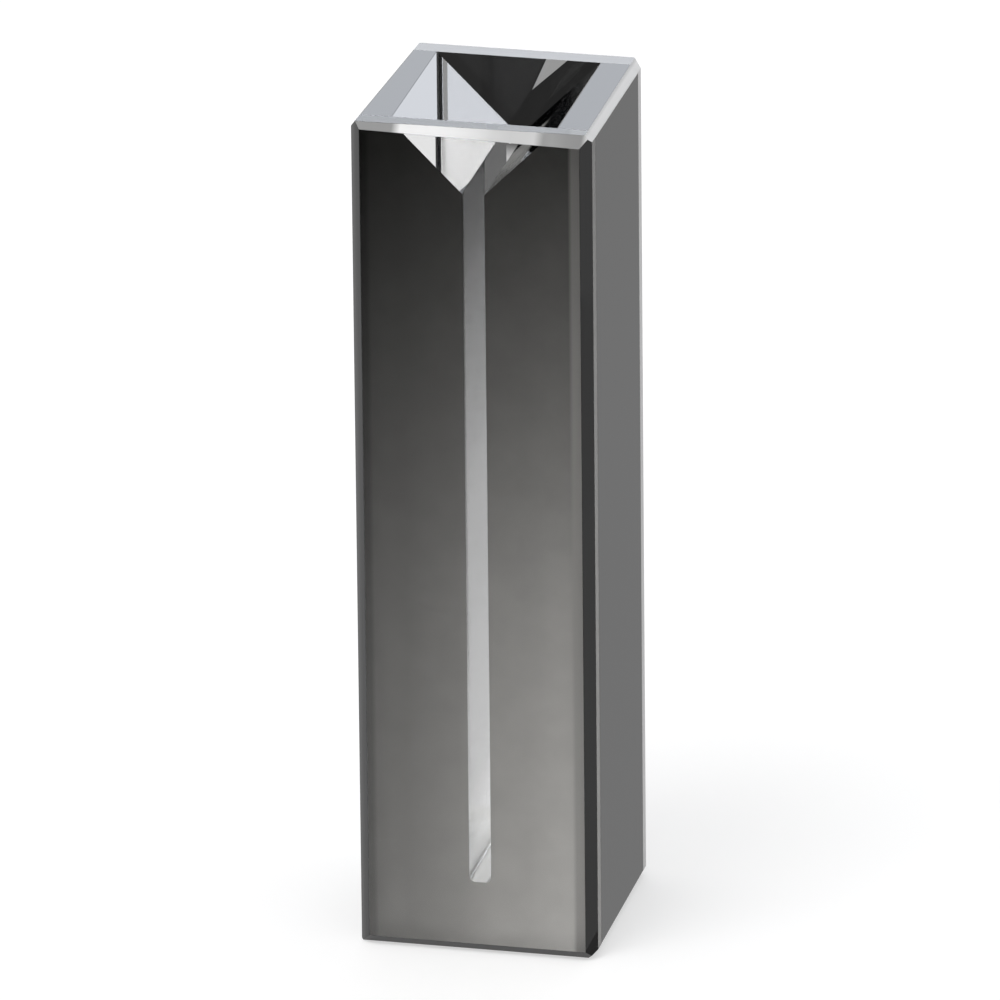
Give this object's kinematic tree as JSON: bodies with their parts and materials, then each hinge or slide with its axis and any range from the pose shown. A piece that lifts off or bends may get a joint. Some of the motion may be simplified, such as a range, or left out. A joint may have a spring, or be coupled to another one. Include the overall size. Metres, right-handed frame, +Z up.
{
  "type": "cuvette",
  "caption": "Tall square micro cuvette: black quartz block with a funnel mouth and narrow slot, closed front and back by fused clear windows.",
  "frame": {"origin": "middle of the base, on the plane that the cuvette stands on", "axes": "+Z up to the mouth, -Y out of the front window along the light path, +X to the right seen from the front"},
  "size_m": [0.0126, 0.0126, 0.045],
  "materials": {
    "black_quartz": "polished outside, in the funnel and in the channel",
    "clear_quartz": "optically polished, edges chamfered"
  },
  "bodies": {
    "root": {"spacer": "black_quartz", "front_window": "clear_quartz", "back_window": "clear_quartz"}
  },
  "joints": []
}
